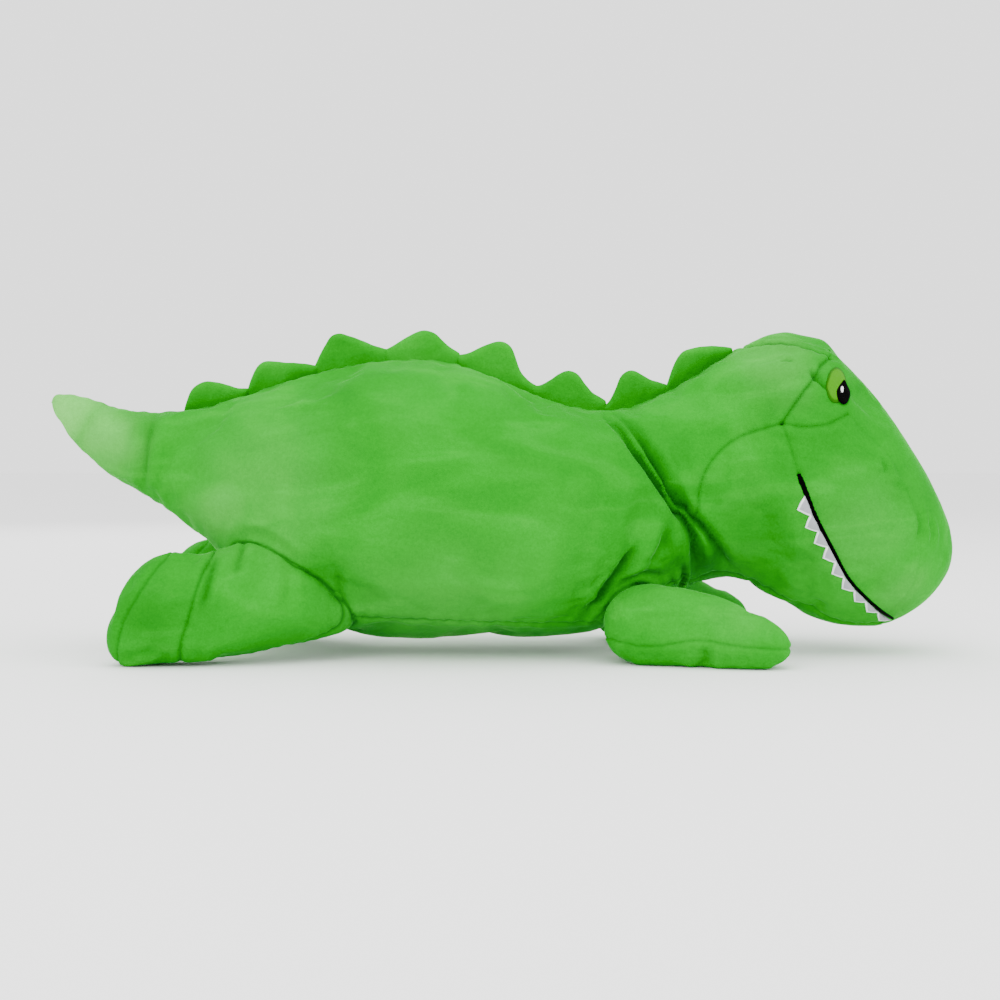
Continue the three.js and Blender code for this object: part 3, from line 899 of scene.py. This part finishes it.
finLook = {"thickness": 9, "root": 9, "across": 34, "up": 9, "edge": 5.5}
fins = [
    # the sewn base from one end to the other, how far the fin leans, and the crest as [x, z] points
    ((-210, -170), 0.45, [(-211, 158), (-209, 165), (-204, 175), (-195, 179.5), (-185, 178.5),
        (-175, 175.5), (-166, 175)]),
    ((-168, -124), 0.4, [(-168, 174), (-165, 182), (-160, 190), (-153, 193), (-140, 192), (-128, 191),
        (-120, 190)]),
    ((-123, -76), 0.16, [(-124, 189), (-121, 195), (-116, 204), (-112, 210), (-106, 211.5), (-98, 209),
        (-86, 204.5), (-74, 201)]),
    ((-77, -27), 0.08, [(-78, 200), (-73, 202.5), (-64, 208), (-56, 212), (-49, 213.5), (-42, 211),
        (-35, 204), (-26, 198)]),
    ((-28, 22), 0.1, [(-30, 197), (-23, 198), (-12, 203), (-3, 206), (4, 205.5), (9, 200), (13, 188),
        (18, 181), (26, 176)]),
    ((20, 70), 0.14, [(18, 178), (26, 177), (33, 180.5), (39, 185), (45, 187), (51, 185), (57, 177.5),
        (62, 172), (71, 166.5)]),
    ((69, 110), 0.2, [(68, 162), (73, 167), (77, 175), (80, 183), (85, 187), (91, 186), (100, 181),
        (112, 177)]),
    ((107, 155), 0.42, [(108, 172), (111, 178), (114, 187), (118, 196), (123, 200.5), (134, 202.5),
        (146, 203), (155, 202)]),
]


def ridgeHeight(surface, x):
    return surface.ray_cast(Vector((x, 0, beyond)), Vector((0, 0, -1)))[0].z


def addFin(number, base, leaning, crestPoints, surface):
    line = smoothLine(crestPoints, 1.0)
    across, up = finLook["across"], finLook["up"]
    start, end = base
    points = []
    for i in range(across + 1):
        share = i / across
        crest, length = pointAlong(line, share)
        foot = start + (end - start) * share
        root = np.array([foot, ridgeHeight(surface, foot) - finLook["root"]])
        tall = np.hypot(*(crest - root))
        ends = min(share, 1 - share) * length
        for j in range(-up, up + 1):
            level = 1 - (abs(j) / up)**1.8
            x, z = crest + (root - crest) * (abs(j) / up)**1.8
            inward = min(tall * (1 - level), ends + 0.4) / finLook["edge"]
            half = finLook["thickness"] / 2 * math.sqrt(1 - (1 - min(1, inward))**2)
            above = max(0, z - ridgeHeight(surface, foot))
            waist = 1 - 0.25 * math.exp(-(above / 4)**2)
            lean = -leaning * above
            points.append((x, lean + math.copysign(half * waist, j) if j else lean, z))
    ring = 2 * up + 1
    faces = []
    for i in range(across):
        for j in range(ring - 1):
            a = i * ring + j
            faces.append((a, a + 1, a + 1 + ring, a + ring))
        faces.append((i * ring + ring - 1, i * ring, (i + 1) * ring, (i + 1) * ring + ring - 1))
    faces.append(list(range(ring)))
    faces.append([across * ring + j for j in reversed(range(ring))])
    piece = newPiece(f"fin_{number}_cloth", points, faces)
    facesOutward(piece)
    modify(piece, "SUBSURF", finer)
    spots, normals = readMesh(piece)
    writeMesh(piece, spots + normals * (0.4 * ripple(spots, 8, number))[:, None])
    for name in ("seamNear", *napAndLightSpots):
        storeNumber(piece, name, np.zeros(len(spots)))
    smoothShade(piece, creaseAngles["fin"])
    finish(piece, f"fin_{number}", finCloth)
    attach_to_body(piece, f"back_fin_{number}")


# embroidery of the face: modelled flat in X and Z, then laid on the head

patches = {
    "eye": {"place": (214.2, 175.5), "half": (6.9, 11.8), "turn": -0.22, "height": 1.3, "lift": 0.1,
            "thread": "olive", "pointed": False},
    "pupil": {"place": (217.6, 170.5), "half": (4.8, 8.0), "turn": -0.06, "height": 1.1, "lift": 1.0,
              "thread": "black", "pointed": True},
    "glint": {"place": (216.4, 171.8), "half": (1.1, 2.1), "turn": -0.2, "height": 0.6, "lift": 1.8,
              "thread": "white", "pointed": False},
}
mouthLook = {"width": 4.0, "endWidth": 1.5, "height": 1.2, "steps": 90, "rows": 6}
toothLook = {"count": 9, "first": 0.13, "start": 1.3, "long": 8.0, "shrink": 0.42, "height": 1.2, "lap": 1.22,
             "slant": 0.1}


def layOn(piece, surface, side, lift):
    # each point's -Y is its height over the head; the rest of it is dropped onto the surface
    spots, _ = readMesh(piece)
    for index, (x, y, z) in enumerate(spots):
        hit = surface.ray_cast(Vector((x, side * beyond, z)), Vector((0, -side, 0)))
        if hit[0] is not None:
            normal = hit[1] if hit[1].y * side > 0 else -hit[1]
            spots[index] = hit[0] + normal * (lift - y)
    writeMesh(piece, spots)
    facesOutward(piece)


def newBall(rings):
    bpy.ops.mesh.primitive_uv_sphere_add(segments=48, ring_count=rings, radius=1)
    piece = bpy.context.object
    points = np.array([v.co for v in piece.data.vertices])
    return piece, points, np.hypot(points[:, 0], points[:, 1])


def addPatch(node, look, surface, side):
    # a padded satin patch, shaped from a flattened ball
    piece, points, outward = newBall(20)
    piece.name = node + "_stitch"
    across, up = points[:, 0], points[:, 1]
    high = np.maximum(points[:, 2], 0)**0.55 * look["height"]
    if look["pointed"]:
        # a teardrop that is pointed at the top
        across = across * (1 - 0.62 * np.clip(up, 0, 1)**1.3) + 0.25 * np.clip(up, 0, 1)**2
    turn, (x, z) = look["turn"], look["place"]
    wide, tall = across * look["half"][0], up * look["half"][1]
    flat = np.column_stack([x + wide * math.cos(turn) - tall * math.sin(turn), -high,
                            z + wide * math.sin(turn) + tall * math.cos(turn)])
    writeMesh(piece, flat)
    storeNumber(piece, "edgeNear", np.clip((outward - 0.8) / 0.08, 0, 1))
    layOn(piece, surface, side, look["lift"])
    bpy.ops.object.shade_smooth()
    finish(piece, node, threads[look["thread"]])
    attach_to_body(piece, "head")


mouthStitch = smoothLine([(188, 119), (194, 104), (199, 92), (209, 74), (222, 52.5), (235, 39.5), (247, 30),
                          (257, 24)])


def mouthPoint(share):
    # place on the mouth line, and the direction from it into the jaw
    spot, length = pointAlong(mouthStitch, share)
    run = pointAlong(mouthStitch, min(share + 0.02, 1))[0] - pointAlong(mouthStitch, max(share - 0.02, 0))[0]
    run = run / np.hypot(*run)
    return spot, run, np.array([run[1], -run[0]]), length


def addMouth(name, side, surface):
    bpy.ops.mesh.primitive_grid_add(x_subdivisions=mouthLook["steps"], y_subdivisions=mouthLook["rows"],
                                    size=2)
    piece = bpy.context.object
    piece.name = "mouth_line_" + name + "_stitch"
    spots = []
    for x, y, _ in (v.co for v in piece.data.vertices):
        share = (x + 1) / 2
        spot, _, jaw, _ = mouthPoint(share)
        width = mouthLook["width"] + (mouthLook["endWidth"] - mouthLook["width"]) * share**0.7
        width *= min(1, 0.7 + share * 9)
        place = spot + jaw * y * width / 2
        spots.append((place[0], -mouthLook["height"] * math.sqrt(max(0, 1 - y * y)), place[1]))
    writeMesh(piece, np.array(spots))
    storeNumber(piece, "edgeNear", np.zeros(len(spots)))
    layOn(piece, surface, side, -0.2)
    modify(piece, "SOLIDIFY", {"thickness": 0.5 * mm, "offset": -1})
    smoothShade(piece, creaseAngles["stitch"])
    finish(piece, "mouth_line_" + name, threads["black"])
    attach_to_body(piece, "head")


def addTeeth(name, side, surface):
    # a row of pointed satin teeth on the jaw side of the mouth line, each shorter than the last
    parts = []
    for number in range(toothLook["count"]):
        share = toothLook["first"] + (0.985 - toothLook["first"]) * (number + 0.5) / toothLook["count"]
        size = 1 - toothLook["shrink"] * number / (toothLook["count"] - 1)
        spot, run, jaw, length = mouthPoint(share)
        half = length * (1 - toothLook["first"]) / toothLook["count"] / 2 * toothLook["lap"]
        reach = toothLook["long"] * size
        part, points, outward = newBall(18)
        turn = np.arctan2(points[:, 1], points[:, 0])
        corner = (turn - math.pi / 2) % (2 * math.pi / 3) - math.pi / 3
        outline = 0.85 * 0.5 / np.cos(corner) + 0.15 * 0.62  # a triangle with soft corners, one on +Y
        flatX, flatY = outward * np.cos(turn) * outline / 0.8, outward * np.sin(turn) * outline
        depth = toothLook["start"] + (flatY + 0.5) / 1.45 * reach
        place = spot + np.outer(flatX * half - toothLook["slant"] * depth, run) + np.outer(depth, jaw)
        high = np.maximum(points[:, 2], 0)**0.5 * toothLook["height"]
        writeMesh(part, np.column_stack([place[:, 0], -high, place[:, 1]]))
        storeNumber(part, "edgeNear", np.clip((outward - 0.64) / 0.1, 0, 1) * (flatY > -0.3))
        layOn(part, surface, side, 0.1)
        parts.append(part)
    bpy.ops.object.select_all(action="DESELECT")
    for part in parts:
        part.select_set(True)
    bpy.context.view_layer.objects.active = parts[0]
    bpy.ops.object.join()
    piece = bpy.context.object
    piece.name = "teeth_" + name + "_stitch"
    bpy.ops.object.shade_smooth()
    finish(piece, "teeth_" + name, threads["tooth"])
    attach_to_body(piece, "head")


def addFace(name, side, surface):
    addMouth(name, side, surface)
    addTeeth(name, side, surface)
    for part, look in patches.items():
        addPatch(part + "_" + name, look, surface, side)


# the whole toy

def addTrunk(trunk, limbs):
    swellCopy = copyPiece(trunk, "trunkInside")
    modify(trunk, "SUBSURF", finer)
    detail(trunk, seams, [ridgeGap, throatGap], trunkFolds, trunkBumps, limbs, False)
    surface = surfaceOf(trunk)
    borders = {"lines": [*seams.values(), smoothLine(tailCrease), smoothLine(neckCrease)],
               "planes": [0, -throat["half"], throat["half"]]}
    for node, panel in splitPanels(trunk, cutTrunk, borders).items():
        finishPanel(panel, node)
        bend(panel)
    tailEnd = tailCrease[2][0]
    cuts = {"tail_filling": (None, tailEnd - 0.5), "torso_filling": (tailEnd + 0.5, 104),
            "head_filling": (105, None)}
    for node, fibre in addFilling(swellCopy, trunkFolds, trunkBumps, cuts).items():
        bend(fibre)
    print("trunk done")
    return surface


def inseamGap(spots, normals):
    # distance to the leg's seam, which runs over its top and underside and stops at the foot
    ends = np.abs(normals[:, 1]) < 0.75
    return np.where(ends & (spots[:, 0] > footStart), np.abs(np.abs(spots[:, 1]) - legInseam), unreached)


limbParts = {
    "arm": {"shape": armShape, "seams": armSeams, "planeGaps": [], "folds": armFolds, "bumps": [],
            "cut": cutArm, "planes": [], "fibres": {"arm_filling_": (None, None)}},
    "leg": {"shape": legShape, "seams": legSeams, "planeGaps": [inseamGap], "folds": legFolds,
            "bumps": legBumps, "cut": cutLeg, "planes": [legInseam],
            "fibres": {"foot_filling_": (None, -195), "leg_filling_": (-194, None)}},
}


def addLimb(kind, name, limb, trunkForm):
    part = limbParts[kind]

    def attach(piece):
        if kind == "arm":
            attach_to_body(piece, "arm_" + name)
        else:
            bend(piece)

    insideCopy = copyPiece(limb, kind + "Inside" + name)
    modify(limb, "SUBSURF", finer)
    lines = {key: smoothLine(line) for key, line in part["seams"].items()}
    detail(limb, lines, part["planeGaps"], part["folds"], part["bumps"], [{**trunkForm, "kind": kind}], True)
    borders = {"lines": list(lines.values()), "planes": [sides[name] * plane for plane in part["planes"]]}
    for node, panel in splitPanels(limb, part["cut"](name), borders).items():
        finishPanel(panel, node)
        attach(panel)
    cuts = {node + name: ends for node, ends in part["fibres"].items()}
    for fibre in addFilling(insideCopy, part["folds"], part["bumps"], cuts).values():
        attach(fibre)
    print(kind, "done", name)


addCamera()
addStudio()
pileCloth = makePile("pileCloth", pileLook["body"])
finCloth = makePile("finCloth", pileLook["fin"])
fibreFill = makeFibre()
threads = {name: makeThread(name + "Thread", look) for name, look in threadLook.items()}

trunk = stuffedForm("trunk", trunkShape, trunkShape["nodes"])
swell(trunk, trunkShape, trunkPins)
limbs = []
for sideName in sides:
    for kind, part in limbParts.items():
        shape = part["shape"]
        limb = stuffedForm(kind + sideName, shape, [node + sideName for node in shape["nodes"]])
        swell(limb, shape, limbPins(part["seams"]))
        limbs.append({"kind": kind, "side": sideName, "piece": limb, "surface": surfaceOf(limb)})
trunkForm = {"piece": copyPiece(trunk, "trunkForm"), "surface": surfaceOf(trunk)}
softenCorner(trunk, limbs, False)
for limb in limbs:
    softenCorner(limb["piece"], [{**trunkForm, "kind": limb["kind"]}], True)
    limb["surface"] = surfaceOf(limb["piece"])
bpy.data.objects.remove(trunkForm["piece"])
trunkForm = {"piece": copyPiece(trunk, "trunkForm"), "surface": surfaceOf(trunk)}
trunkSurface = addTrunk(trunk, limbs)
for limb in limbs:
    addLimb(limb["kind"], limb["side"], limb["piece"], trunkForm)
bpy.data.objects.remove(trunkForm["piece"])
for number, fin in enumerate(fins, 1):
    addFin(number, *fin, trunkSurface)
print("fins done")
for sideName, side in sides.items():
    addFace(sideName, side, trunkSurface)
print("face done")
